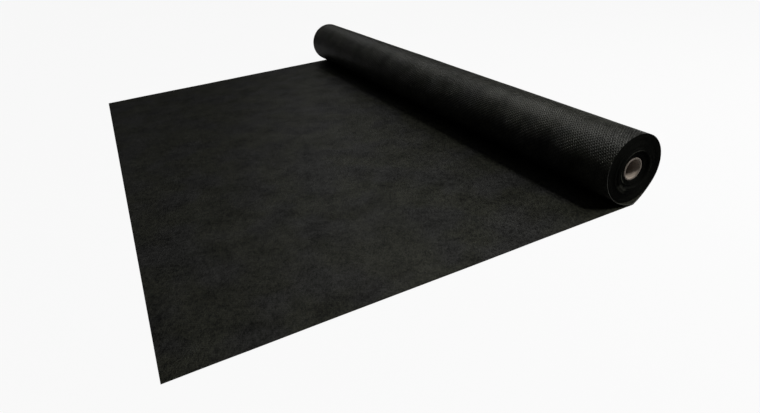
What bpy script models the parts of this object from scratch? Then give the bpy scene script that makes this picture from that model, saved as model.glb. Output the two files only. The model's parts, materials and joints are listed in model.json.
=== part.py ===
"""A roll of weed control sheet, its first half metre and more rolled out flat.

The object is one long web of black non-woven fabric wound on a cardboard core. The frame has +X along
the laid sheet towards the roll, +Y across the web away from the viewer, and +Z up. Its origin is on the
ground, under the middle of the object's box. Everything is in metres.

The web leaves the ground at the roll's lowest line, runs up the far side in X, over the top and down
again, so the roll winds the sheet up as it rolls towards -X.
"""

import math

import bmesh
import bpy
from mathutils import Matrix, Vector

# The web
WEB_WIDTH = 1.000
FABRIC_THICKNESS = 0.0004
LAID_LENGTH = 0.578  # from the free end to the line where the web leaves the ground

# The roll
ROLL_RADIUS = 0.0470  # from the roll's axis to the ground
TURN_GAP = 0.0005  # clear space between the outermost turn and the one under it
TURN_ROUNDS = 1.08  # the outermost turn goes once round and a little under its own start
TELESCOPE = 0.0015  # the most that a group of turns has slipped along the core

# The wound turns lie in groups that slipped to one side or the other while the web was wound.
# Edges are shares of the way from the core to the outermost turn. Slips are shares of TELESCOPE,
# and a group that slipped to +Y stands back at the near end and out at the far one.
GROUP_EDGE_shares = (0.0, 0.12, 0.30, 0.43, 0.62, 0.86, 1.0)
GROUP_SLIP_shares = (1.0, 0.75, -1.0, -0.3, 0.3, 0.05)
SLIP_RUN = 0.0008  # the build of turns over which one group steps to the next

# The cardboard core
CORE_BORE_RADIUS = 0.0127
CORE_WALL = 0.0023
CORE_SETBACK = 0.0015  # how far each end of the core lies behind the edge of the web
CORE_EDGE_BREAK = 0.0003

# The tape that holds the start of the web to the core
TAPE_WIDTH = 0.024
TAPE_THICKNESS = 0.00012
TAPE_SETBACK = 0.050  # from the edge of the web to the end of the tape

# Fits and facets
CLEARANCE = 0.0003  # between pieces that touch on the real roll
MERGE_DISTANCE = 0.00001
ROUND_STEPS = 96
SHARP_ANGLE = math.radians(30)

# Worked out from the sizes above
TURN_PITCH = FABRIC_THICKNESS + TURN_GAP  # how far a turn draws in towards the axis in one round
CORE_RADIUS = CORE_BORE_RADIUS + CORE_WALL
TAPE_INNER_RADIUS = CORE_RADIUS + CLEARANCE
WOUND_INNER_RADIUS = TAPE_INNER_RADIUS + TAPE_THICKNESS + CLEARANCE
WOUND_RADIUS = ROLL_RADIUS - FABRIC_THICKNESS - TURN_PITCH * TURN_ROUNDS - CLEARANCE

COLLECTION_NAME = "weed_control_sheet_roll"
MM_PER_METRE = 1000


def clear_scene():
    """Remove every object and the old collection, so that the script can be run again in an open file."""
    for old in list(bpy.data.objects):
        bpy.data.objects.remove(old, do_unlink=True)
    if COLLECTION_NAME in bpy.data.collections:
        bpy.data.collections.remove(bpy.data.collections[COLLECTION_NAME])


def plain_material(name, colour, roughness):
    """A Principled BSDF of one colour."""
    material = bpy.data.materials.new(name)
    material.use_nodes = True
    shader = material.node_tree.nodes["Principled BSDF"]
    shader.inputs["Base Color"].default_value = (*colour, 1.0)
    shader.inputs["Roughness"].default_value = roughness
    shader.inputs["Metallic"].default_value = 0.0
    return material


def add_object(name, mesh, material, parent=None):
    """Put a mesh in the object's collection, with its origin at its parent."""
    obj = bpy.data.objects.new(name, mesh)
    bpy.data.collections[COLLECTION_NAME].objects.link(obj)
    obj.data.materials.append(material)
    obj.parent = parent
    return obj


def add_empty(name, location, parent=None):
    """An empty that marks a joint. Its own Z axis is the line that the joint turns about."""
    empty = bpy.data.objects.new(name, None)
    bpy.data.collections[COLLECTION_NAME].objects.link(empty)
    empty.empty_display_size = ROLL_RADIUS
    empty.parent = parent
    empty.location = location
    return empty


def mesh_from_points(name, points, closed):
    """A chain of edges through the points, closed into a ring or left open."""
    edges = [(i, i + 1) for i in range(len(points) - 1)]
    if closed:
        edges.append((len(points) - 1, 0))
    mesh = bpy.data.meshes.new(name)
    mesh.from_pydata(points, edges, [])
    return mesh


def turn(obj, angle=math.tau, steps=ROUND_STEPS):
    """Turn the object's profile about its Z axis."""
    screw = obj.modifiers.new("Turned", "SCREW")
    screw.axis = "Z"
    screw.angle = angle
    screw.steps = steps
    screw.render_steps = steps
    screw.use_smooth_shade = True
    screw.use_merge_vertices = True
    screw.merge_threshold = MERGE_DISTANCE
    screw.use_normal_calculate = False
    return screw


def thicken(obj, thickness, offset):
    """Give an open surface its wall. Offset 0 grows both ways, 1 grows outwards."""
    solidify = obj.modifiers.new("Wall", "SOLIDIFY")
    solidify.thickness = thickness
    solidify.offset = offset
    solidify.use_even_offset = True
    return solidify


def settle(obj):
    """Turn the modifiers into mesh and shade the round faces smooth, with the rims sharp."""
    bpy.context.view_layer.update()
    graph = bpy.context.evaluated_depsgraph_get()
    mesh = bpy.data.meshes.new_from_object(obj.evaluated_get(graph))
    obj.modifiers.clear()
    obj.data = mesh
    mesh.name = obj.name
    mesh.shade_smooth()
    mesh.set_sharp_from_angle(angle=SHARP_ANGLE)
    return obj


def turn_centre_radius(angle):
    """The outermost turn's middle radius at an angle from its start, an even spiral inwards."""
    return ROLL_RADIUS - FABRIC_THICKNESS / 2 - TURN_PITCH * angle / math.tau


def turn_angles():
    """The angles of the outermost turn's points, from just past the laid sheet to its inner end."""
    first = CLEARANCE / ROLL_RADIUS
    last = TURN_ROUNDS * math.tau
    steps = round(TURN_ROUNDS * ROUND_STEPS)
    return [first + (last - first) * i / steps for i in range(steps + 1)]


def turn_point(angle, radius):
    """A point at an angle round the roll, counted from the ground up the +X side."""
    return Vector((radius * math.sin(angle), 0, -radius * math.cos(angle)))


def roll_reach():
    """How far the outermost turn reaches beyond the roll's axis in +X."""
    radii = [(angle, turn_centre_radius(angle) + FABRIC_THICKNESS / 2) for angle in turn_angles()]
    return max(turn_point(angle, radius).x for angle, radius in radii)


def least_gap_in_turn():
    """The least gap between the outermost turn and its own end, one round further in."""
    angles = turn_angles()
    gaps = []
    for angle in angles:
        under = angle + math.tau
        if under <= angles[-1]:
            above = turn_point(angle, turn_centre_radius(angle))
            below = turn_point(under, turn_centre_radius(under))
            gaps.append((above - below).length - FABRIC_THICKNESS)
    return min(gaps, default=0)


def make_laid_sheet(free_end_x, material):
    """The part of the web that lies flat, one thickness of fabric on the ground."""
    bpy.ops.mesh.primitive_cube_add(size=1)
    sheet = bpy.context.object
    sheet.name = sheet.data.name = "laid_sheet"
    sheet.data.transform(Matrix.Diagonal((LAID_LENGTH, WEB_WIDTH, FABRIC_THICKNESS, 1)))
    sheet.location = (free_end_x + LAID_LENGTH / 2, 0, FABRIC_THICKNESS / 2)
    for group in list(sheet.users_collection):
        group.objects.unlink(sheet)
    bpy.data.collections[COLLECTION_NAME].objects.link(sheet)
    sheet.data.materials.append(material)
    return sheet


def make_outer_turn(parent, material):
    """The outermost turn: the web's one unbroken spiral, from the laid sheet round the roll."""
    points = [turn_point(angle, turn_centre_radius(angle)) for angle in turn_angles()]
    near_edge = Vector((0, -WEB_WIDTH / 2, 0))
    mesh = mesh_from_points("outer_turn", [point + near_edge for point in points], closed=False)
    build = bmesh.new()
    build.from_mesh(mesh)
    swept = bmesh.ops.extrude_edge_only(build, edges=build.edges[:])
    moved = [item for item in swept["geom"] if isinstance(item, bmesh.types.BMVert)]
    bmesh.ops.translate(build, vec=(0, WEB_WIDTH, 0), verts=moved)
    bmesh.ops.recalc_face_normals(build, faces=build.faces[:])
    build.to_mesh(mesh)
    build.free()
    outer = add_object("outer_turn", mesh, material, parent)
    thicken(outer, FABRIC_THICKNESS, offset=0)
    return settle(outer)


def wound_profile():
    """The wound turns cut along the axis: each group keeps the web's width and its own slip."""
    build_up = WOUND_RADIUS - WOUND_INNER_RADIUS
    edges = [WOUND_INNER_RADIUS + build_up * share for share in GROUP_EDGE_shares]
    slips = [TELESCOPE * share for share in GROUP_SLIP_shares]
    last = len(slips) - 1
    far_end = []
    near_end = []
    for i, slip in enumerate(slips):
        inner = edges[i] if i == 0 else edges[i] + SLIP_RUN / 2
        outer = edges[i + 1] if i == last else edges[i + 1] - SLIP_RUN / 2
        for radius in (inner, outer):
            far_end.append((radius, 0, WEB_WIDTH / 2 + slip))
            near_end.append((radius, 0, -WEB_WIDTH / 2 + slip))
    return far_end + near_end[::-1]


def make_wound_turns(parent, material):
    """All the turns between the core and the outermost one, as one turned solid."""
    mesh = mesh_from_points("wound_turns", wound_profile(), closed=True)
    wound = add_object("wound_turns", mesh, material, parent)
    turn(wound)
    return settle(wound)


def make_core_tube(parent, material):
    """The cardboard tube that the web is wound on, open from end to end."""
    half = WEB_WIDTH / 2 - CORE_SETBACK
    profile = [
        (CORE_BORE_RADIUS, 0, half),
        (CORE_RADIUS, 0, half),
        (CORE_RADIUS, 0, -half),
        (CORE_BORE_RADIUS, 0, -half),
    ]
    tube = add_object("core_tube", mesh_from_points("core_tube", profile, closed=True), material, parent)
    turn(tube)
    bevel = tube.modifiers.new("Edge break", "BEVEL")
    bevel.width = min(CORE_EDGE_BREAK, CORE_WALL / 3)
    bevel.segments = 1
    bevel.limit_method = "ANGLE"
    bevel.angle_limit = SHARP_ANGLE
    return settle(tube)


def make_start_tape(parent, material):
    """The strip of tape along the core under the first turn."""
    half = WEB_WIDTH / 2 - TAPE_SETBACK
    profile = [(TAPE_INNER_RADIUS, 0, half), (TAPE_INNER_RADIUS, 0, -half)]
    tape = add_object("start_tape", mesh_from_points("start_tape", profile, closed=False), material, parent)
    angle = TAPE_WIDTH / TAPE_INNER_RADIUS
    turn(tape, angle, max(2, round(ROUND_STEPS * angle / math.tau)))
    thicken(tape, TAPE_THICKNESS, offset=1)
    return settle(tape)


def main():
    clear_scene()
    collection = bpy.data.collections.new(COLLECTION_NAME)
    bpy.context.scene.collection.children.link(collection)

    fabric_flat = plain_material("fabric_laid", (0.013, 0.014, 0.013), 0.75)
    fabric_turn = plain_material("fabric_outer_turn", (0.014, 0.015, 0.015), 0.70)
    fabric_edge = plain_material("fabric_wound", (0.010, 0.010, 0.010), 0.80)
    cardboard = plain_material("cardboard", (0.30, 0.24, 0.19), 0.85)
    paper_tape = plain_material("paper_tape", (0.58, 0.50, 0.34), 0.65)

    free_end_x = -(LAID_LENGTH + roll_reach()) / 2
    axis = Vector((free_end_x + LAID_LENGTH, 0, ROLL_RADIUS))

    carriage = add_empty("roll_travel_line", axis)
    spindle = add_empty("roll_spin_axis", (0, 0, 0), carriage)
    spindle.rotation_euler = (-math.pi / 2, 0, 0)

    make_laid_sheet(free_end_x, fabric_flat)
    make_outer_turn(carriage, fabric_turn)
    make_wound_turns(spindle, fabric_edge)
    make_start_tape(spindle, paper_tape)
    make_core_tube(spindle, cardboard)

    print("roll axis at", tuple(round(value * MM_PER_METRE, 3) for value in axis), "mm")
    print("least gap in the outermost turn:", round(least_gap_in_turn() * MM_PER_METRE, 3), "mm")


main()
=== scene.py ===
# %% [markdown]
# # A roll of weed control sheet, part rolled out
#
# The object is one web of thin black non-woven fabric, a metre wide, wound on a cardboard tube. Over half
# a metre of it lies flat on the ground. The web then bends up under the roll, goes once round the outside
# and disappears into some seventy turns of itself.
#
# A CAD model already holds every piece at its real size, so nothing here is moved or fitted. This lesson
# gives each piece the surface that the plain solids lack: the bonding marks and the uneven fibres of the
# fabric, the separate turns at the ends of the roll, and the fibres and plies of the cardboard.
#
# The first cell loads the CAD model and its record.

# %% Load the frame
import json
import math

import bmesh
import bpy
import numpy as np
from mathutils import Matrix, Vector


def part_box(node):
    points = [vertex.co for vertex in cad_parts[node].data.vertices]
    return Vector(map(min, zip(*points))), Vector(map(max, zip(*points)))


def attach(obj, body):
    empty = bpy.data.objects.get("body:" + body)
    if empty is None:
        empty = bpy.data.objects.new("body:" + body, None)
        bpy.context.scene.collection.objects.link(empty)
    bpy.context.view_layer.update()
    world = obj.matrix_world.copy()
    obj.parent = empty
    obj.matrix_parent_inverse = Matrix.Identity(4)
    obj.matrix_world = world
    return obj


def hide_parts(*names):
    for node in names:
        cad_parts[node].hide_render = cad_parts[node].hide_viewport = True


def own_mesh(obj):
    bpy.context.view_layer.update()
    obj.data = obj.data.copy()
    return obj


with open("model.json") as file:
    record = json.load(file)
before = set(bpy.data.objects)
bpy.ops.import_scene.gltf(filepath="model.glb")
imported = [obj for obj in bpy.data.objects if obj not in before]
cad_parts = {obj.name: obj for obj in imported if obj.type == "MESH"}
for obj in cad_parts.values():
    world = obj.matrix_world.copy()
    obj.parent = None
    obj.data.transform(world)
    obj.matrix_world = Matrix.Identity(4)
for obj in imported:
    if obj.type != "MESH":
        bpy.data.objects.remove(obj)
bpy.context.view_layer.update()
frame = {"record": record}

# %% [markdown]
# ## The sizes that everything follows
#
# The sheet's own box gives the width of the web, its thickness and the line where it leaves the ground.
# The roll's axis is the point on its hinge. All the other sizes here are worked out from these, or are
# sizes of real things, such as the thickness of one turn.

# %% Read the sizes
sheet_low, sheet_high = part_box("laid_sheet")
core_low, core_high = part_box("core_tube")
joints = {joint["name"]: joint for joint in frame["record"]["behaviour"]["joints"]}

FREE_END_X = sheet_low[0]
LEAVE_X = sheet_high[0]
WEB_WIDTH = sheet_high[1] - sheet_low[1]
FABRIC = sheet_high[2] - sheet_low[2]
AXIS_X, _, ROLL_RADIUS = joints["roll_spin"]["pos_m"]
CORE_RADIUS = (core_high[2] - core_low[2]) / 2
CORE_HALF = core_high[1]
LAID_LENGTH = AXIS_X - FREE_END_X

print("web", round(WEB_WIDTH, 3), "m wide,", round(FABRIC * 1000, 2), "mm thick")
print("laid length", round(LAID_LENGTH, 3), "m")
print("roll radius", round(ROLL_RADIUS, 4), "core radius", round(CORE_RADIUS, 4))

# %% [markdown]
# ## A surface from a grid of points
#
# Every new piece is a grid of points worked out in one go with numpy. A grid can be closed into a tube
# both ways, which turns a profile into a ring with no seam. The UV map is in metres along the web and
# across it, so that a pattern drawn on the fabric keeps its size where the fabric bends.

# %% Grid helper
SHARP_ANGLE = math.radians(40)


def grid_faces(rows, columns, close_rows=False, close_columns=False):
    """Four-cornered faces between neighbours of a rows by columns grid, as an array of point numbers.

    Face (i, j) joins points (i, j), (i, j + 1), (i + 1, j + 1) and (i + 1, j). Closing wraps the numbers.
    """
    i = np.arange(rows if close_rows else rows - 1)[:, None]
    j = np.arange(columns if close_columns else columns - 1)[None, :]
    below = (i + 1) % rows
    right = (j + 1) % columns
    corners = [i * columns + j, i * columns + right, below * columns + right, below * columns + j]
    grids = [np.broadcast_to(corner, (i.size, j.size)) for corner in corners]
    return np.stack(grids, axis=-1).reshape(-1, 4)


def make_mesh(name, points, faces, uv=None, caps=()):
    """An object with the given points and faces, and one more face round each list of points in caps.

    If uv gives one pair for each point, the object also has a UV map called web.
    """
    mesh = bpy.data.meshes.new(name)
    mesh.from_pydata(points.reshape(-1, 3).tolist(), [], faces.tolist() + [list(cap) for cap in caps])
    if uv is not None:
        corner_points = np.empty(len(mesh.loops), dtype=np.int32)
        mesh.loops.foreach_get("vertex_index", corner_points)
        layer = mesh.uv_layers.new(name="web")
        layer.data.foreach_set("uv", uv.reshape(-1, 2)[corner_points].astype(np.float32).ravel())
    mesh.shade_smooth()
    mesh.set_sharp_from_angle(angle=SHARP_ANGLE)
    piece = bpy.data.objects.new(name, mesh)
    bpy.context.scene.collection.objects.link(piece)
    return piece


def report(piece):
    """Print how big a finished piece's mesh is."""
    print(f"{piece.name}: {len(piece.data.vertices)} points, {len(piece.data.polygons)} faces")


print("a grid of 3 by 4 points has", len(grid_faces(3, 4)), "faces")

# %% [markdown]
# ## Gentle unevenness
#
# Cloth is never exactly flat and never exactly round. A few long waves in random directions, added
# together, give an unevenness with no repeat that the eye can find. The random numbers are seeded, so
# the same waves come out every time.

# %% Random waves
def swell(u, v, shortest, longest, seed, count=14):
    """The sum of count sine waves over the plane (u, v), scaled so that most of it is from -1 to 1.

    Each wave is sin(2 pi (u cos a + v sin a) / length + phase). The lengths are spread evenly in ratio from
    shortest to longest, and each wave's share grows with the root of its length.
    """
    random = np.random.default_rng(seed)
    lengths = np.geomspace(shortest, longest, count)
    turns = random.uniform(0, math.pi, count)
    phases = random.uniform(0, math.tau, count)
    total = 0
    for length, turn, phase in zip(lengths, turns, phases):
        along = u * math.cos(turn) + v * math.sin(turn)
        total = total + np.sqrt(length / longest) * np.sin(math.tau * along / length + phase)
    return total / np.sqrt(np.sum(lengths / longest))


metre = np.linspace(0, 1, 6)
print("a swell along one metre:", np.round(swell(metre, 0, 0.06, 0.5, seed=3), 2))

# %% [markdown]
# ## Short names for shader nodes
#
# A material here is a small sum, so it reads best as one. Each helper adds one node and gives back its
# output, and a number can stand wherever an output can. A noise gives values around one half and hardly
# any outside 0.3 to 0.7, so one helper stretches that range to the one that a finish needs.

# %% Node helpers
NOISE_LOW = 0.3
NOISE_HIGH = 0.7


class Shader:
    """A material's node tree, with one short method for each kind of node used in this lesson."""

    def __init__(self, name):
        self.material = bpy.data.materials.new(name)
        self.material.use_nodes = True
        self.tree = self.material.node_tree
        self.surface = self.tree.nodes["Principled BSDF"]

    def add(self, kind, inputs=None, **settings):
        """One node of the kind, with its settings made and its inputs linked or set."""
        node = self.tree.nodes.new(kind)
        for key, value in settings.items():
            setattr(node, key, value)
        for key, value in (inputs or {}).items():
            self.join(value, node.inputs[key])
        return node

    def join(self, value, socket):
        """Link an output to a socket, or set the socket to a number or a colour."""
        if isinstance(value, bpy.types.NodeSocket):
            self.tree.links.new(value, socket)
        else:
            socket.default_value = value

    def math(self, operation, a, b=0.0):
        """One sum on numbers, such as ADD or MULTIPLY."""
        return self.add("ShaderNodeMath", {0: a, 1: b}, operation=operation).outputs[0]

    def chain(self, operation, *values):
        """The same sum carried on from the first value to the last."""
        total = values[0]
        for value in values[1:]:
            total = self.math(operation, total, value)
        return total

    def own_place(self):
        """The place on the object, in its own coordinates in metres."""
        return self.add("ShaderNodeTexCoord").outputs["Object"]

    def place(self, vector, offset=(0, 0, 0), turn=(0, 0, 0), scale=(1, 1, 1)):
        """The vector scaled, turned and shifted, as the Mapping node does."""
        inputs = {"Vector": vector, "Location": offset, "Rotation": turn, "Scale": scale}
        return self.add("ShaderNodeMapping", inputs).outputs[0]

    def noise(self, vector, scale, detail=2.0, roughness=0.5):
        """Smooth random values around one half."""
        inputs = {"Vector": vector, "Scale": scale, "Detail": detail, "Roughness": roughness}
        return self.add("ShaderNodeTexNoise", inputs).outputs["Fac"]

    def ramp(self, value, low, high, to_low=0.0, to_high=1.0, smooth=False):
        """The value moved from the range low to high into to_low to to_high, and held inside it."""
        inputs = {"Value": value, "From Min": low, "From Max": high, "To Min": to_low, "To Max": to_high}
        kind = "SMOOTHSTEP" if smooth else "LINEAR"
        return self.add("ShaderNodeMapRange", inputs, interpolation_type=kind).outputs[0]

    def spread(self, noise, to_low=0.0, to_high=1.0):
        """A noise moved from its usual range into to_low to to_high."""
        return self.ramp(noise, NOISE_LOW, NOISE_HIGH, to_low, to_high)

    def blend(self, share, first, second):
        """Colours mixed by a share."""
        node = self.add("ShaderNodeMix", data_type="RGBA")
        self.join(share, node.inputs["Factor"])
        self.join(first, node.inputs["A"])
        self.join(second, node.inputs["B"])
        return node.outputs["Result"]

    def split(self, vector):
        """The three parts of a vector."""
        return self.add("ShaderNodeSeparateXYZ", {0: vector}).outputs

    def combine(self, x, y):
        """A vector from two numbers, with nought as the third."""
        return self.add("ShaderNodeCombineXYZ", {0: x, 1: y}).outputs[0]

    def bump(self, height, distance, strength=1.0, after=None):
        """A surface normal tilted by a height, which is given as a share of distance in metres."""
        inputs = {"Height": height, "Distance": distance, "Strength": strength}
        if after is not None:
            inputs["Normal"] = after
        return self.add("ShaderNodeBump", inputs).outputs[0]


def dress(piece, material):
    """Give the piece this material alone."""
    piece.data.materials.clear()
    piece.data.materials.append(material)


# %% [markdown]
# ## The fabric
#
# Spunbond fabric is a mat of fine plastic threads, laid at random and welded together at small oval
# points by a hot patterned roller. Three things show. The weld points are smooth and sunken, in slanting
# rows a few millimetres apart, so the cloth between them stands up in small cushions. The threads lie
# unevenly, so the black is cloudy. And the cloth has two faces: the one that met the patterned roller is
# embossed and has the soft shine of plastic, and the other, which met a smooth roller, is dull.
#
# The web is wound with its shiny face outwards. Where it comes off under the roll it lies on that face,
# so the sheet on the ground shows the dull one.
#
# The pattern is drawn on flat coordinates in metres, along the web and across it: the object's own
# coordinates for the sheet on the ground, and the UV map for the turn that goes round the roll. Real
# dents would need millions of faces, so the weld points are a height that only tilts the light. First
# comes the slanted grid that they stand on. It wavers a little, because the web stretches unevenly.

# %% Weld points
WELD_STEP = (0.00363, -0.00208)
WELD_ROW_STEP = (0.00181, 0.00255)
WELD_LENGTH_share = 0.38
WELD_WIDTH_share = 0.29
WELD_FLOOR = 0.35
WELD_FOOT = 1.5
WAVER = 0.0022
WAVER_SCALE = 70


def weld_counts():
    """Two vectors in weld points a metre, whose products with a place on the web count steps and rows.

    They are the rows of the inverse of the matrix whose columns are the step and the row step.
    """
    steps = np.array([WELD_STEP, WELD_ROW_STEP]).T
    return np.linalg.inv(steps)


def weld_points(shader, plane):
    """1 on each weld point and 0 between, with one oval in each cell of the slanted grid.

    With (a, b) from -1/2 to 1/2 across a cell, the oval is where (a / length)^2 + (b / width)^2 is
    under 1. Its wall is soft: the value is 1 while that sum is under WELD_FLOOR, and 0 from WELD_FOOT on.
    """
    wavers = shader.add("ShaderNodeTexNoise", {"Vector": plane, "Scale": WAVER_SCALE, "Detail": 2.0})
    inputs = {0: wavers.outputs["Color"], 1: (WAVER, WAVER, 0), 2: plane}
    plane = shader.add("ShaderNodeVectorMath", inputs, operation="MULTIPLY_ADD").outputs[0]
    squares = []
    for counts, share in zip(weld_counts(), (WELD_LENGTH_share, WELD_WIDTH_share)):
        vector = (float(counts[0]), float(counts[1]), 0.0)
        product = shader.add("ShaderNodeVectorMath", {0: plane, 1: vector}, operation="DOT_PRODUCT")
        inside = shader.math("SUBTRACT", shader.math("FRACT", product.outputs["Value"]), 0.5)
        reach = shader.math("ABSOLUTE", shader.math("DIVIDE", inside, share))
        squares.append(shader.math("POWER", reach, 2.0))
    return shader.ramp(shader.math("ADD", *squares), WELD_FLOOR, WELD_FOOT, 1.0, 0.0, smooth=True)


print("weld points a square metre:", round(abs(np.linalg.det(weld_counts()))))

# %% [markdown]
# Threads that lie on top of the mat cross each other in a few main directions. A noise that is stretched
# in one direction looks like threads that lie that way, and the highest of a few such noises looks like
# threads that cross. A lay of threads is a turn in radians and the scale of its noise.

# %% Threads
THREAD_LAYS = ((0.3, 260), (-0.5, 310), (1.4, 230))
THREAD_STRETCH = (1, 6, 1)


def threads(shader, plane):
    """The highest of the noises of all lays, each squeezed across its own direction."""
    noises = []
    for turn, scale in THREAD_LAYS:
        turned = shader.place(plane, turn=(0, 0, turn))
        noises.append(shader.noise(shader.place(turned, scale=THREAD_STRETCH), scale, 2.0))
    return shader.chain("MAXIMUM", *noises)


print("lays of threads, degrees:", [round(math.degrees(turn)) for turn, _ in THREAD_LAYS])

# %% [markdown]
# The black between the weld points is built up from the smallest thing to the largest. The grain is the
# finest threads and the gaps between them, and the tangle is the threads on top. The clumps are places
# with more threads than others, a few millimetres wide. The cloud is the same thing over centimetres,
# and where it is thin the weld points are flatter. The drift is a slow change of the black to olive.
# Each ramp below says how much one of these layers adds to the colour or multiplies the shine.
#
# Both faces are made by one function, because only the shine, the depth and the contrast of the weld points
# differ. An edge that is marked as frayed, by an attribute of its piece, turns paler: partly frayed
# threads, partly a painted highlight where the edge catches the light.

# %% Fabric material
BLACK = (0.0024, 0.0025, 0.0024, 1)
FADED = (0.0178, 0.0178, 0.0168, 1)
OLIVE = (0.0180, 0.0184, 0.0132, 1)
SHINE_COLOUR = (1.0, 1.0, 0.87, 1)
# The pale of frayed threads, also used as a painted highlight on the cut edge.
FRAYED_AND_HIGHLIGHT = (0.050, 0.050, 0.045, 1)
THREAD_DEPTH = 0.0003
GRAIN_TURN = math.radians(27)
GRAIN_STRETCH = (1, 0.45, 1)
GRAIN_SCALE = 640
GRAIN_LOW = 0.34
GRAIN_HIGH = 0.66
GRAIN_DEPTH = 0.00035
CLUMP_SCALE = 130
CLOUD_SCALE = 24
DRIFT_SCALE = 13


def fabric_material(name, source, shine, rough, emboss, marks):
    """Black spunbond fabric. source is Object or UV, the coordinates that lie flat along the web.

    shine is the specular level, rough the usual roughness, emboss the depth of the weld points in metres,
    and marks how much darker and less shiny they are, from 0 to 1.
    """
    shader = Shader(name)
    if source == "UV":
        plane = shader.add("ShaderNodeUVMap", uv_map="web").outputs[0]
    else:
        plane = shader.own_place()
    tangle = threads(shader, plane)
    turned = shader.place(plane, turn=(0, 0, GRAIN_TURN))
    grain = shader.noise(shader.place(turned, scale=GRAIN_STRETCH), GRAIN_SCALE, 3.0, 0.8)
    clumps = shader.noise(plane, CLUMP_SCALE, 3.0, 0.6)
    cloud = shader.noise(plane, CLOUD_SCALE, 4.0, 0.65)
    drift = shader.noise(plane, DRIFT_SCALE, 2.0)
    kept = shader.ramp(cloud, 0.36, 0.6, 0.55, 1.0)
    marked = shader.chain("MULTIPLY", kept, marks, weld_points(shader, plane))

    parts = [
        shader.ramp(grain, GRAIN_LOW, GRAIN_HIGH, -0.1, 0.86),
        shader.spread(cloud, 0.0, 0.3),
        shader.spread(clumps, -0.2, 0.2),
        shader.ramp(tangle, 0.5, 0.75, -0.1, 0.15),
    ]
    pale = shader.math("SUBTRACT", shader.chain("ADD", *parts), marked)
    faded = shader.blend(shader.ramp(drift, 0.4, 0.56), FADED, OLIVE)
    colour = shader.blend(shader.ramp(pale, 0.0, 1.3, 0.0, 1.3), BLACK, faded)
    # Frayed threads and painted highlight: the marked edge is blended towards the pale colour.
    fray_and_highlight = shader.add("ShaderNodeAttribute", attribute_name="fray_and_highlight").outputs["Fac"]
    fray_and_highlight = shader.math("MULTIPLY", fray_and_highlight, shader.ramp(clumps, 0.3, 0.6, 0.3, 1.0))
    shader.join(shader.blend(fray_and_highlight, colour, FRAYED_AND_HIGHLIGHT), shader.surface.inputs["Base Color"])
    shader.join(shader.spread(clumps, rough - 0.05, rough + 0.07), shader.surface.inputs["Roughness"])

    parts = [
        shader.math("SUBTRACT", 1.0 + marks / 3, marked),
        shine,
        shader.ramp(grain, GRAIN_LOW, GRAIN_HIGH, 0.85, 1.15),
        shader.spread(clumps, 0.7, 1.3),
        shader.ramp(cloud, 0.33, 0.67, 0.55, 1.45),
    ]
    shader.join(shader.chain("MULTIPLY", *parts), shader.surface.inputs["Specular IOR Level"])
    shader.surface.inputs["Specular Tint"].default_value = SHINE_COLOUR

    threads_up = shader.bump(tangle, THREAD_DEPTH, 0.6)
    grain_up = shader.bump(grain, GRAIN_DEPTH, 1.0, threads_up)
    welds_down = shader.bump(shader.math("SUBTRACT", 1.0, marked), emboss, 1.0, grain_up)
    shader.join(welds_down, shader.surface.inputs["Normal"])
    return shader.material


dull_face = fabric_material("dull_face", "Object", shine=0.067, rough=0.36, emboss=0.0002, marks=0.1)
shiny_face = fabric_material("shiny_face", "UV", shine=0.215, rough=0.34, emboss=0.0009, marks=0.65)
print("the two faces of the fabric:", dull_face.name, "and", shiny_face.name)

# %% [markdown]
# ## The sheet on the ground
#
# The laid part of the web is nearly a rectangle. Its two cut edges are straight but not quite parallel:
# they stand out by a few millimetres at the roll and are drawn in a little at the free end, where the web
# was pulled. The sheet lies on hard ground, so it only lifts by a fraction of a millimetre here and there.
#
# A grid of points carries the lift. The last line of points but one lies close to the border, so that
# what is marked on a border stays in a narrow band.

# %% Surface of the laid sheet
SHEET_COLUMNS = 116
SHEET_ROWS = 200
EDGE_BAND = 0.0012
LIFT = 0.0004
LIFT_WAVES = (0.06, 0.5)
LIFT_FADE_share = 1 / 12
NEAR_EDGE_FREE = 0.0025
NEAR_EDGE_ROLL = -0.0068
FAR_EDGE_FREE = -0.0007
FAR_EDGE_ROLL = 0.0036


def lines(count, edge):
    """count places from 0 to 1: the two ends, one a share edge inside each, and the rest even between."""
    return np.concatenate([[0], np.linspace(edge, 1 - edge, count - 2), [1]])


def edge_run(share, free, roll):
    """How far an edge stands from the CAD sheet's edge, from free at the free end to roll at the roll."""
    return free + (roll - free) * share


def laid_points(columns, rows):
    """The middle surface of the laid sheet.

    x runs from the free end to the roll and y from the near edge to the far one, each along lines. z is
    half a thickness plus LIFT times a swell held from 0 to 1, which fades out at the roll over
    LIFT_FADE_share of the length.
    """
    along = lines(columns, EDGE_BAND / LAID_LENGTH)[None, :]
    across = lines(rows, EDGE_BAND / WEB_WIDTH)[:, None]
    x = FREE_END_X + (LEAVE_X - FREE_END_X) * along + 0 * across
    near = -WEB_WIDTH / 2 + edge_run(along, NEAR_EDGE_FREE, NEAR_EDGE_ROLL)
    far = WEB_WIDTH / 2 + edge_run(along, FAR_EDGE_FREE, FAR_EDGE_ROLL)
    y = near + (far - near) * across
    waves = np.clip(0.5 + 0.5 * swell(x, y, *LIFT_WAVES, seed=3), 0, 1)
    z = FABRIC / 2 + LIFT * waves * np.clip((1 - along) / LIFT_FADE_share, 0, 1)
    return np.stack([x, y, z], axis=-1)


laid_surface = laid_points(SHEET_COLUMNS, SHEET_ROWS)
lift = laid_surface[..., 2].max() - FABRIC / 2
print("highest lift of the laid sheet:", round(lift * 1000, 2), "mm")
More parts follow.
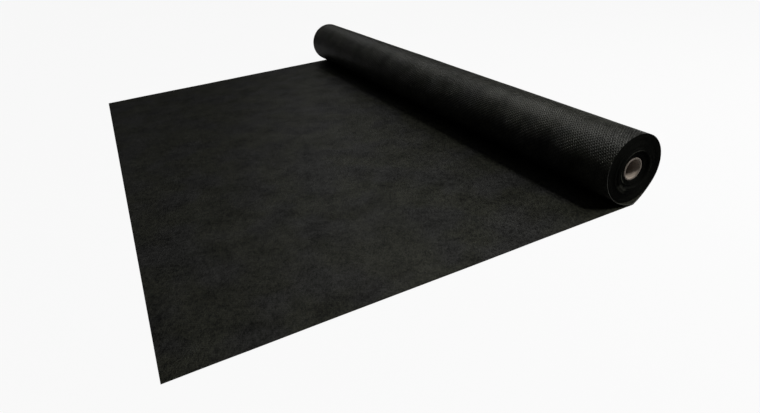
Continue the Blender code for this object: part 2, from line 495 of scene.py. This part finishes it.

# %% [markdown]
# A Solidify modifier gives the surface the thickness of the fabric. The borders are made sharp, because
# the rim would otherwise be shaded as if the cloth curved over at its edge.

# %% Laid fabric
def give_thickness(piece, outer_slot=0):
    """A wall as thick as the fabric, half on each side of the surface, with sharp borders.

    A border edge belongs to one face only, so it is found by counting how often each edge is used. The
    rim takes the piece's second material, and the outer side of the wall the one in outer_slot.
    """
    mesh = piece.data
    edges_used = np.empty(len(mesh.loops), dtype=np.int32)
    mesh.loops.foreach_get("edge_index", edges_used)
    uses = np.bincount(edges_used, minlength=len(mesh.edges))
    mesh.edges.foreach_set("use_edge_sharp", uses == 1)
    wall = piece.modifiers.new("Fabric", "SOLIDIFY")
    wall.thickness = FABRIC
    wall.offset = 0
    wall.material_offset = outer_slot
    wall.material_offset_rim = 1


faces = grid_faces(SHEET_ROWS, SHEET_COLUMNS)
laid_fabric = make_mesh("laid_fabric", laid_surface, faces, uv=laid_surface[..., :2])
give_thickness(laid_fabric)
dress(laid_fabric, dull_face)
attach(laid_fabric, "ground_sheet")
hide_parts("laid_sheet")
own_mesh(laid_fabric)
report(laid_fabric)

# %% [markdown]
# ## The outermost turn
#
# From the line where it leaves the ground the web goes once round the roll as a spiral, drawing in
# slightly as it goes, and ends tucked under its own start. The UV map counts the metres along that path,
# so the weld points carry on at the same size as on the flat sheet. Tension pulls a soft roll into long
# shallow dents, which are what break up the highlight along it.
#
# At the ground the edges stand out as the laid sheet's do. They run back in line with the roll's ends as
# the web rises on the side away from the free end, stay so over the top, and come out again down the
# side that faces the free end.

# %% Surface of the outer turn
TURN_PITCH = 0.0009
TURN_ROUNDS = 1.08
TURN_COLUMNS = 240
TURN_ROWS = 130
SHEET_GAP = 0.0003
DENT = 0.00025
DENT_WAVES = (0.05, 0.30)
DENT_FADE = 0.6
OUT_OF_LINE_turns = (0.0, 0.15, 0.62, 1.0, 1.15)
OUT_OF_LINE_shares = (1.0, 0.0, 0.0, 1.0, 0.0)


def turn_angles(columns):
    """Even angles in radians, from the ground line up, over the top and round to the tucked end."""
    return np.linspace((LEAVE_X + SHEET_GAP - AXIS_X) / ROLL_RADIUS, TURN_ROUNDS * math.tau, columns)


def out_of_line(angle):
    """How far the edges stand out at an angle, as a share of how far they stand out at the ground."""
    return np.interp(angle / math.tau, OUT_OF_LINE_turns, OUT_OF_LINE_shares) ** 2


def turn_points(columns, rows):
    """The middle surface of the outermost turn.

    At angle a the radius is R - t/2 - pitch a / 2 pi, less a dent of up to DENT, which fades out over
    DENT_FADE radians at both ends. The point is then (axis + r sin a, y, R - r cos a), with y along lines
    between the two edges.
    """
    angle = turn_angles(columns)[None, :]
    across = lines(rows, EDGE_BAND / WEB_WIDTH)[:, None]
    near = -WEB_WIDTH / 2 + NEAR_EDGE_ROLL * out_of_line(angle)
    far = WEB_WIDTH / 2 + FAR_EDGE_ROLL * out_of_line(angle)
    y = near + (far - near) * across
    dents = 0.5 + 0.5 * swell(y, angle * ROLL_RADIUS, *DENT_WAVES, seed=8)
    from_end = angle[0, -1] - angle
    dents = dents * np.clip(angle / DENT_FADE, 0, 1) * np.clip(from_end / DENT_FADE, 0, 1)
    radius = ROLL_RADIUS - FABRIC / 2 - TURN_PITCH * angle / math.tau - DENT * np.clip(dents, 0, 1)
    x = AXIS_X + radius * np.sin(angle)
    z = ROLL_RADIUS - radius * np.cos(angle)
    return np.stack([x, y, z], axis=-1)


turn_surface = turn_points(TURN_COLUMNS, TURN_ROWS)
path = LEAVE_X + turn_angles(TURN_COLUMNS) * ROLL_RADIUS
print("cloth in the outermost turn:", round(path[-1] - path[0], 4), "m")

# %% [markdown]
# The cut edge is frayed where it comes out of line, down the side that faces the free end, and it catches
# the light there. Its border is marked there with a value that the materials turn paler, as frayed threads
# and as a painted highlight.
#
# The spiral shows three finishes, each in a material slot of its own: the dull face on the inner side of
# the wall, the cut edge on its rim and the shiny face on its outer side.

# %% Outer turn
# Where the cut edge is frayed and given a painted highlight, in shares of a turn.
FRAY_AND_HIGHLIGHT_turns = (0.64, 0.78)
OUTER_SLOT = 2


def mark_fray_and_highlight(piece, angle, shape):
    """Store for each point how far it is frayed and given a painted highlight: 0, or on the two cut edges
    from 0 to 1 over the shares of a turn in the table above.
    """
    fray_and_highlight = np.zeros(shape)
    fray_and_highlight[[0, -1]] = np.interp(angle / math.tau, FRAY_AND_HIGHLIGHT_turns, (0.0, 1.0))
    layer = piece.data.attributes.new("fray_and_highlight", "FLOAT", "POINT")
    layer.data.foreach_set("value", fray_and_highlight.astype(np.float32).ravel())


shape = turn_surface.shape[:2]
uv = np.stack([np.broadcast_to(path, shape), turn_surface[..., 1]], axis=-1)
outer_wrap = make_mesh("outer_wrap", turn_surface, grid_faces(TURN_ROWS, TURN_COLUMNS), uv=uv)
mark_fray_and_highlight(outer_wrap, turn_angles(TURN_COLUMNS), shape)
give_thickness(outer_wrap, OUTER_SLOT)
dress(outer_wrap, dull_face)
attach(outer_wrap, "travelling_turn")
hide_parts("outer_turn")
report(outer_wrap)

# %% [markdown]
# ## The turns inside
#
# Seen from its end a roll of fabric is one spiral of cut edges. Groups of turns have slipped along the
# core, some out and some in, and inside a group each turn stands a hair out of line with the next. The
# web keeps its width, so a group that stands back at one end stands out at the other.
#
# The slip is a function of one number, the turns counted from the core. The groups' borders are shares of
# all the turns, and each group's slip is a share of the largest one.

# %% Slipped groups
TURN_THICKNESS = 0.00042
TAPE_ROOM = 0.0007
TELESCOPE = 0.0015
GROUP_EDGE_shares = (0.0, 0.12, 0.30, 0.43, 0.62, 0.86, 1.0)
GROUP_SLIP_shares = (1.0, 0.75, -1.0, -0.3, 0.3, 0.05)
GROUP_STEP_share = 0.03
WANDER = 0.00022
SPARE_TURNS = 3

wound_low, wound_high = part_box("wound_turns")
WOUND_RADIUS = (wound_high[2] - wound_low[2]) / 2
WOUND_START = CORE_RADIUS + TAPE_ROOM
TURN_COUNT = int((WOUND_RADIUS - WOUND_START) / TURN_THICKNESS) - 1


def slip(turns):
    """How far the web has slipped towards +Y at a number of turns out from the core.

    It is the slip of the turn's group, with a short ramp between groups, and a wander of its own, which
    runs straight from one turn's random value to the next one's.
    """
    edges = np.array(GROUP_EDGE_shares)
    half = GROUP_STEP_share / 2
    places = np.stack([edges[:-1] + half, edges[1:] - half], axis=1).ravel()
    group = np.interp(turns / TURN_COUNT, places, np.repeat(GROUP_SLIP_shares, 2)) * TELESCOPE
    random = np.random.default_rng(21)
    counts = np.arange(TURN_COUNT + SPARE_TURNS)
    return group + np.interp(turns, counts, random.normal(0, WANDER, len(counts)))


print(TURN_COUNT, "turns of", round(TURN_THICKNESS * 1000, 2), "mm")
print("slip of the first and the last turn, mm:", np.round(slip(np.array([0, TURN_COUNT])) * 1000, 2))

# %% [markdown]
# It would be easy to draw rings on a flat disc, but they would look wrong as soon as light grazed them,
# so each turn is real: a strip with a flat top and a narrow groove beside it.
#
# The grid is a profile carried once round the roll: out along the near end, across the outside, in along
# the far end and back through the bore. It follows the spiral, so once round moves every point out by
# one turn, and the last column of the grid meets the first with its rows shifted by one turn. The two
# columns are merged. What stays open are two steps, where the web starts and where the outer turn
# begins, and one face closes each.

# %% Wound turns
END_COLUMNS = 200
ROWS_PER_TURN = 3
GROOVE_shares = (0.0, 0.22, 0.80)
GROOVE = 0.00045
MERGE = 0.000002


def wound_points(columns):
    """The roll's profile at each angle, as a grid of points with its rows along the profile.

    Three rows make a turn: the groove, and the two borders of the flat top, at the shares s of a turn in
    GROOVE_shares. At turn t and angle a the radius is start + thickness (t + s + a / 2 pi). There y is
    half the web's width less the groove's depth, which only the groove's row has, with a minus at the
    near end, plus the turn's slip. The point is (axis + r cos a, y, R - r sin a), so that the spiral runs
    inwards the way the web does.
    """
    angle = np.linspace(0, math.tau, columns + 1)[None, :]
    rows = np.arange(TURN_COUNT * ROWS_PER_TURN + 1)
    share = np.array(GROOVE_shares)[rows % ROWS_PER_TURN]
    turns = (rows // ROWS_PER_TURN)[:, None] + angle / math.tau
    radius = WOUND_START + TURN_THICKNESS * (turns + share[:, None])
    depth = np.where(rows % ROWS_PER_TURN == 0, GROOVE, 0)[:, None]
    near = slip(turns) - (WEB_WIDTH / 2 - depth)
    far = slip(turns) + (WEB_WIDTH / 2 - depth)
    radius = np.concatenate([radius, radius[::-1]])
    y = np.concatenate([near, far[::-1]])
    return np.stack([AXIS_X + radius * np.cos(angle), y, ROLL_RADIUS - radius * np.sin(angle)], axis=-1)


def step_caps(rows, columns):
    """The point numbers round the two faces that close the spiral's seam, inside and outside.

    The inside step is in the first column, on the first turn of both ends. The outside one is in the last
    column, on the last turn of both ends.
    """
    first = np.arange(rows) * columns
    last = first + columns - 1
    half = rows // 2
    step = ROWS_PER_TURN + 1
    inside = [*first[:step], *first[-step:]]
    outside = [*last[half - step:half + step]]
    return inside, outside


def close_seam(piece):
    """Merge the seam's two columns, point the faces outwards and say whether any edge is left open."""
    build = bmesh.new()
    build.from_mesh(piece.data)
    bmesh.ops.remove_doubles(build, verts=build.verts[:], dist=MERGE)
    bmesh.ops.recalc_face_normals(build, faces=build.faces[:])
    open_edges = sum(not edge.is_manifold for edge in build.edges)
    build.to_mesh(piece.data)
    build.free()
    piece.data.shade_smooth()
    piece.data.set_sharp_from_angle(angle=SHARP_ANGLE)
    print(piece.name, "has", open_edges, "open edges")


spiral = wound_points(END_COLUMNS)
rows, columns = spiral.shape[:2]
faces = grid_faces(rows, columns, close_rows=True)
wound_cloth = make_mesh("wound_cloth", spiral, faces, caps=step_caps(rows, columns))
close_seam(wound_cloth)
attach(wound_cloth, "roll")
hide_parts("wound_turns")
report(wound_cloth)

# %% [markdown]
# ## The finish of the cut edges
#
# The ends of the turns are the same black plastic, cut and slightly melted by the knife. They are darker
# than the face of the cloth, because light is lost between the turns. Here and there a torn thread or some
# lint makes a paler fleck, and pale arcs are painted on the steps between the groups, as a painted
# highlight where the steps catch the light.
#
# The pattern works with the distance from the roll's axis and the angle around it, which come from the
# object's own coordinates.

# %% Round the axis
def polar_coordinates(shader):
    """The distance r from the roll's axis, the angle round it, the place along it and the centred vector.

    With the axis at nought r is the root of x^2 + z^2, and the angle is that of (x, z).
    """
    centred = shader.place(shader.own_place(), offset=(-AXIS_X, 0, -ROLL_RADIUS))
    x, y, z = shader.split(centred)
    squares = shader.math("ADD", shader.math("MULTIPLY", x, x), shader.math("MULTIPLY", z, z))
    radius = shader.math("SQRT", squares)
    angle = shader.math("ARCTAN2", z, x)
    return radius, angle, y, centred


print("the axis runs along y at x", round(AXIS_X, 4), "and z", round(ROLL_RADIUS, 4))

# %% [markdown]
# An arc of painted highlight is the radius and the width of its ring in metres, and then the middle and
# half the length of the arc in degrees. The streaks follow the turns: they are a noise on the number of
# turns and the angle, squeezed so that a streak is a few turns thick.

# %% Cut edge material
EDGE_DARK = (0.0019, 0.0020, 0.0016, 1)
EDGE_PALE = (0.0034, 0.0036, 0.0029, 1)
EDGE_SHINE = 0.015
# The pale of lint, and of the painted highlight on the steps between groups of turns.
LINT_AND_HIGHLIGHT = (0.055, 0.056, 0.045, 1)
HIGHLIGHT_ARCS = (
    (0.0290, 0.0009, -26, 52),
    (0.0205, 0.0012, 200, 36),
    (0.0285, 0.0048, 229, 22),
    (0.0250, 0.0008, 100, 50),
)
STREAKS_PER_TURN = 0.35
STREAKS_PER_RADIAN = 3.0
LINT_SCALE = 420
LINT_DEPTH = 0.0004
PATCH_SCALE = 75


def highlight_arc(shader, radius, angle, ring, width, middle, half):
    """1 in the middle of a painted highlight arc round the axis, fading to 0 at a width from its ring and
    half its angle.
    """
    off_ring = shader.math("ABSOLUTE", shader.math("SUBTRACT", radius, ring))
    across = shader.ramp(off_ring, 0.0, width, 1.0, 0.0, smooth=True)
    facing = shader.math("COSINE", shader.math("SUBTRACT", angle, math.radians(middle)))
    along = shader.ramp(facing, math.cos(math.radians(half)), 1.0, smooth=True)
    return shader.math("MULTIPLY", across, along)


def edge_material():
    """The cut edges of many turns, with lint, and with arcs of painted highlight on the steps between
    groups of turns.
    """
    shader = Shader("cut_edges")
    radius, angle, _, centred = polar_coordinates(shader)
    turn = shader.math("DIVIDE", radius, TURN_THICKNESS)
    across = shader.math("MULTIPLY", turn, STREAKS_PER_TURN)
    along = shader.math("MULTIPLY", angle, STREAKS_PER_RADIAN)
    streaks = shader.noise(shader.combine(across, along), 1.0, 3.0, 0.6)
    lint = shader.noise(centred, LINT_SCALE, 3.0, 0.65)
    patch = shader.noise(centred, PATCH_SCALE, 2.0)
    lint_here = shader.ramp(patch, 0.54, 0.68)
    lint_and_highlight = shader.math("MULTIPLY", shader.ramp(lint, 0.62, 0.74, 0.0, 0.6), lint_here)
    # Painted highlight: pale arcs where the steps between groups of turns catch the light.
    for arc in HIGHLIGHT_ARCS:
        painted_arc = highlight_arc(shader, radius, angle, *arc)
        painted_arc = shader.math("MULTIPLY", painted_arc, shader.ramp(patch, 0.3, 0.6, 0.1, 0.75))
        lint_and_highlight = shader.math("ADD", lint_and_highlight, painted_arc)
    dark = shader.blend(shader.ramp(streaks, 0.35, 0.7), EDGE_DARK, EDGE_PALE)
    colour = shader.blend(shader.ramp(lint_and_highlight, 0.0, 1.0), dark, LINT_AND_HIGHLIGHT)
    # Frayed threads and painted highlight: the outer turn's marked cut edge turns paler.
    fray_and_highlight = shader.add("ShaderNodeAttribute", attribute_name="fray_and_highlight").outputs["Fac"]
    shader.join(shader.blend(fray_and_highlight, colour, FRAYED_AND_HIGHLIGHT), shader.surface.inputs["Base Color"])
    shader.join(shader.spread(streaks, 0.6, 0.85), shader.surface.inputs["Roughness"])
    shader.join(shader.bump(lint, LINT_DEPTH, 0.6), shader.surface.inputs["Normal"])
    shader.surface.inputs["Specular IOR Level"].default_value = EDGE_SHINE
    return shader.material


cut_edges = edge_material()
dress(wound_cloth, cut_edges)
for piece in (laid_fabric, outer_wrap):
    piece.data.materials.append(cut_edges)
outer_wrap.data.materials.append(shiny_face)
print("slots of the outermost turn:", [slot.name for slot in outer_wrap.data.materials])

# %% [markdown]
# ## The cardboard core
#
# The core is a tube of grey-brown paper plies, wound on a slant and glued, and its cut edge is slightly
# furred. The tube is a profile carried round the axis: over the near rim from the outside to the bore,
# through the bore, over the far rim and back along the outside. Both rims have rounded corners, and the
# fur is a small random step inwards at each of their points.

# %% Core tube
CORE_WALL = 0.0023
RIM_ROUND = 0.0005
RIM_STEPS = 5
CORE_COLUMNS = 144
FUR = 0.00008


def rim_profile(steps):
    """The rim's outline as (radius, y) pairs from the bore to the outside, with two quarter-round corners.

    At angle q of a corner of radius c the outline is c (1 - cos q) in from the wall and c (1 - sin q)
    short of the tube's end.
    """
    quarter = np.linspace(0, math.pi / 2, steps)
    inset = RIM_ROUND * (1 - np.cos(quarter))
    rise = CORE_HALF - RIM_ROUND * (1 - np.sin(quarter))
    bore = CORE_RADIUS - CORE_WALL
    inner = np.stack([bore + inset, rise], axis=1)
    outer = np.stack([CORE_RADIUS - inset, rise], axis=1)
    flat = np.linspace(bore + RIM_ROUND, CORE_RADIUS - RIM_ROUND, steps)[1:-1]
    middle = np.stack([flat, np.full_like(flat, CORE_HALF)], axis=1)
    return np.concatenate([inner, middle, outer[::-1]])


def core_points(columns):
    """The tube's grid: the near rim from the outside to the bore, then the far rim back to the outside.

    A point at angle a is (axis + r cos a, y, R + r sin a). Every point moves inwards in y by up to FUR.
    """
    rim = rim_profile(RIM_STEPS)
    near = rim[::-1] * (1, -1)
    profile = np.concatenate([near, rim])
    angle = np.linspace(0, math.tau, columns, endpoint=False)[None, :]
    random = np.random.default_rng(5)
    fur = random.uniform(-1, 0, (len(profile), columns)) * FUR
    radius = profile[:, :1] + 0 * angle
    y = profile[:, 1:] + fur * np.sign(profile[:, 1:])
    return np.stack([AXIS_X + radius * np.cos(angle), y, ROLL_RADIUS + radius * np.sin(angle)], axis=-1)


tube = core_points(CORE_COLUMNS)
faces = grid_faces(*tube.shape[:2], close_rows=True, close_columns=True)
card_core = make_mesh("card_core", tube, faces)
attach(card_core, "roll")
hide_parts("core_tube")
report(card_core)

# %% [markdown]
# ## The cardboard's finish
#
# Cheap grey-brown paper is blotchy, with pale fibres that lie mostly along the tube. The cut ends are
# darker, partly dirt and partly painted shade held in the open plies, and show the plies as thin rings. The
# seam of a ply runs along the tube as a screw line. It lies where the share of a round and the number of
# pitches along the tube add up to a whole number and a half.

# %% Cardboard material
PAPER_DARK = (0.135, 0.108, 0.086, 1)
PAPER_PALE = (0.19, 0.162, 0.136, 1)
FIBRE_PALE = (0.26, 0.228, 0.195, 1)
PLY_RING = (0.20, 0.16, 0.12, 1)
SEAM_DARK = (0.13, 0.10, 0.075, 1)
# The dark of dirt and of painted shade in the open plies of the cut ends.
CUT_DIRT_AND_SHADE = (0.030, 0.025, 0.020, 1)
CARD_SHINE = 0.3
FIBRE_SCALE = 900
FIBRE_STRETCH = (1, 0.35, 1)
FIBRE_DEPTH = 0.00015
BLOTCH_SCALE = 120
PLY = 0.00045
PLY_SEAM_PITCH = 0.072
SEAM_HALF_share = 0.012
SEAM_DEPTH = 0.0002
CUT_START = 0.0010
CUT_FULL = 0.0003


def cardboard_material():
    """Grey-brown paper with flecks, rings of plies on the cut ends and a screw line where plies meet."""
    shader = Shader("cardboard")
    radius, angle, along, centred = polar_coordinates(shader)
    fibre = shader.noise(shader.place(centred, scale=FIBRE_STRETCH), FIBRE_SCALE, 3.0, 0.6)
    blotch = shader.noise(centred, BLOTCH_SCALE, 3.0, 0.6)
    rings = shader.math("SINE", shader.math("MULTIPLY", radius, math.tau / PLY))
    round_share = shader.math("DIVIDE", angle, math.tau)
    pitches = shader.math("DIVIDE", along, PLY_SEAM_PITCH)
    screw = shader.math("FRACT", shader.math("ADD", pitches, round_share))
    off_seam = shader.math("ABSOLUTE", shader.math("SUBTRACT", screw, 0.5))
    seam = shader.ramp(off_seam, 0.0, SEAM_HALF_share, 1.0, 0.0)
    # Painted shade and dirt: the paper darkens towards each cut end.
    cut = shader.ramp(shader.math("ABSOLUTE", along), CORE_HALF - CUT_START, CORE_HALF - CUT_FULL)
    paper = shader.blend(shader.spread(blotch), PAPER_DARK, PAPER_PALE)
    paper = shader.blend(shader.ramp(fibre, 0.42, 0.72, 0.0, 0.55), paper, FIBRE_PALE)
    paper = shader.blend(shader.ramp(rings, 0.2, 1.0, 0.0, 0.18), paper, PLY_RING)
    paper = shader.blend(shader.math("MULTIPLY", seam, 0.55), paper, SEAM_DARK)
    paper = shader.blend(shader.math("MULTIPLY", cut, 0.5), paper, CUT_DIRT_AND_SHADE)
    shader.join(paper, shader.surface.inputs["Base Color"])
    shader.join(shader.spread(fibre, 0.78, 0.95), shader.surface.inputs["Roughness"])
    seam_down = shader.bump(shader.math("SUBTRACT", 1.0, seam), SEAM_DEPTH, 0.8)
    shader.join(shader.bump(fibre, FIBRE_DEPTH, 0.7, seam_down), shader.surface.inputs["Normal"])
    shader.surface.inputs["Specular IOR Level"].default_value = CARD_SHINE
    return shader.material


dress(card_core, cardboard_material())
print("core wall:", round(CORE_WALL / PLY, 1), "plies of", round(PLY * 1000, 2), "mm")

# %% [markdown]
# ## The tape at the start of the web
#
# A strip of paper tape along the core holds the first turn. It lies hidden between the core and the
# turns, so the CAD solid is shape enough, but it still has its own finish: fine crepe lines across a
# cream paper.

# %% Tape material
TAPE_DARK = (0.50, 0.42, 0.27, 1)
TAPE_PALE = (0.66, 0.58, 0.40, 1)
CREPE_SCALE = 900
CREPE_STRETCH = (0.4, 3.0, 0.4)
CREPE_DEPTH = 0.0001


def tape_material():
    """Cream crepe paper tape."""
    shader = Shader("paper_tape")
    crepe = shader.noise(shader.place(shader.own_place(), scale=CREPE_STRETCH), CREPE_SCALE, 3.0, 0.6)
    paper = shader.blend(shader.spread(crepe), TAPE_DARK, TAPE_PALE)
    shader.join(paper, shader.surface.inputs["Base Color"])
    shader.join(shader.spread(crepe, 0.5, 0.75), shader.surface.inputs["Roughness"])
    shader.join(shader.bump(crepe, CREPE_DEPTH, 0.8), shader.surface.inputs["Normal"])
    return shader.material


start_tape = bpy.data.objects["start_tape"]
dress(start_tape, tape_material())
report(start_tape)

# %% [markdown]
# ## Ground and air
#
# The roll lies on plain white. The ground is a large pale plane. What the camera sees of it is nearly all
# plain white, and only a small share is the lit surface, so that a faint shadow is left to seat the
# roll. The air is white to the camera too, and gives a little light from all round. Nothing on the roll
# is glass or metal, so only the camera needs to see that white.

# %% Ground and air
GROUND_SIZE = 12
GROUND_DROP = 0.0006
GROUND_COLOUR = (0.3, 0.3, 0.3, 1)
GROUND_ROUGHNESS = 0.9
GROUND_SHINE = 0.1
WHITE = (1, 1, 1, 1)
WHITE_share = 0.93
AIR_LIGHT = 0.045


def camera_sees(tree, seen, lit, output, share=1.0):
    """Mix two shaders so that the camera gets the first by a share, and all other light the second."""
    path = tree.nodes.new("ShaderNodeLightPath")
    amount = tree.nodes.new("ShaderNodeMath")
    amount.operation = "MULTIPLY"
    amount.inputs[1].default_value = share
    mix = tree.nodes.new("ShaderNodeMixShader")
    tree.links.new(path.outputs["Is Camera Ray"], amount.inputs[0])
    tree.links.new(amount.outputs[0], mix.inputs[0])
    tree.links.new(lit, mix.inputs[1])
    tree.links.new(seen, mix.inputs[2])
    tree.links.new(mix.outputs[0], output)


def make_ground():
    """A square of pale ground just under the sheet."""
    half = GROUND_SIZE / 2
    corners = np.array([[-half, -half], [half, -half], [half, half], [-half, half]])
    points = np.concatenate([corners, np.full((4, 1), -GROUND_DROP)], axis=1)
    ground = make_mesh("ground", points, np.array([[0, 1, 2, 3]]))
    shader = Shader("pale_ground")
    shader.surface.inputs["Base Color"].default_value = GROUND_COLOUR
    shader.surface.inputs["Roughness"].default_value = GROUND_ROUGHNESS
    shader.surface.inputs["Specular IOR Level"].default_value = GROUND_SHINE
    white = shader.add("ShaderNodeEmission", {"Color": WHITE, "Strength": 1.0}).outputs[0]
    output = shader.tree.nodes["Material Output"].inputs["Surface"]
    camera_sees(shader.tree, white, shader.surface.outputs[0], output, WHITE_share)
    dress(ground, shader.material)


def make_air():
    """A world that is white to the camera and a dim even light to everything else."""
    world = bpy.data.worlds.new("air")
    world.use_nodes = True
    tree = world.node_tree
    tree.nodes.clear()
    backgrounds = []
    for strength in (1.0, AIR_LIGHT):
        background = tree.nodes.new("ShaderNodeBackground")
        background.inputs["Color"].default_value = WHITE
        background.inputs["Strength"].default_value = strength
        backgrounds.append(background.outputs[0])
    seen, lit = backgrounds
    output = tree.nodes.new("ShaderNodeOutputWorld")
    camera_sees(tree, seen, lit, output.inputs["Surface"])
    bpy.context.scene.world = world


make_ground()
make_air()
print("ground of", GROUND_SIZE, "m, air at", AIR_LIGHT)

# %% [markdown]
# ## The lamps
#
# Black cloth shows its shape by what it reflects. Four soft lamps beyond the roll's far end do that: they
# skim the top of the roll and the far part of the sheet. Three lamps hang above the roll, on the side
# away from the sheet. They light the sheet from over the roll, so that its shadow leaves a dark band
# beside it. Two small ones, for the near half and the far half, make the band's edge, and a wide one makes
# the slower fade beyond it. Two lamps in front light the end of the roll and the inside of its core.

# %% Lamps
MIDDLE = (0.0, 0.0, 0.0)


def make_lamp(name, place, target, size, power):
    """A rectangular soft lamp at a place, turned to face a target. size is in metres, power in watts."""
    data = bpy.data.lights.new(name, "AREA")
    data.shape = "RECTANGLE"
    data.size, data.size_y = size
    data.energy = power
    lamp = bpy.data.objects.new(name, data)
    lamp.location = place
    lamp.rotation_euler = (Vector(target) - Vector(place)).to_track_quat("-Z", "Y").to_euler()
    bpy.context.scene.collection.objects.link(lamp)
    print(name, "of", power, "W")


make_lamp("back_lamp", (0.10, 1.14, 1.64), MIDDLE, (0.4, 0.5), 3.0)
make_lamp("back_right_lamp", (0.82, 1.27, 1.29), MIDDLE, (0.5, 0.5), 1.1)
make_lamp("low_left_lamp", (-0.46, 1.72, 0.91), MIDDLE, (0.5, 0.5), 0.15)
make_lamp("low_right_lamp", (0.61, 1.67, 0.91), MIDDLE, (0.5, 0.5), 0.65)
make_lamp("front_right_lamp", (1.63, -0.94, 0.68), MIDDLE, (0.8, 0.8), 9.3)
make_lamp("front_lamp", (-0.48, -1.33, 1.41), MIDDLE, (0.8, 0.8), 1.35)
make_lamp("top_lamp", (0.46, -0.86, 0.92), (0.42, -0.50, 0.0), (0.15, 0.25), 10.3)
make_lamp("far_top_lamp", (0.48, 0.20, 0.95), (0.40, 0.20, 0.0), (0.15, 0.3), 2.2)
make_lamp("wide_top_lamp", (1.05, -0.70, 0.85), (0.3, -0.4, 0.0), (0.5, 0.5), 8.2)

# %% [markdown]
# ## The camera
#
# The camera's place and turn were worked out from the photograph: the corners of the sheet, its edges
# and the outline of the roll are known shapes, and only one camera sees them where the picture has them.
# It stands low, near the free end, with a wide lens, which is why the near end of the roll looks so much
# bigger than the far one.

# %% Camera
CAMERA_PLACE = (-0.26424, -0.89383, 0.35220)
CAMERA_TURN = (60.578, 4.510, -27.117)
CAMERA_LENS = 24.979
SENSOR_WIDTH = 36

camera_data = bpy.data.cameras.new("camera")
camera_data.sensor_width = SENSOR_WIDTH
camera_data.lens = CAMERA_LENS
camera = bpy.data.objects.new("camera", camera_data)
camera.location = CAMERA_PLACE
camera.rotation_euler = [math.radians(turn) for turn in CAMERA_TURN]
bpy.context.scene.collection.objects.link(camera)
bpy.context.scene.camera = camera
bpy.context.scene.view_settings.view_transform = "Standard"
print("view across, degrees:", round(math.degrees(camera_data.angle), 1))
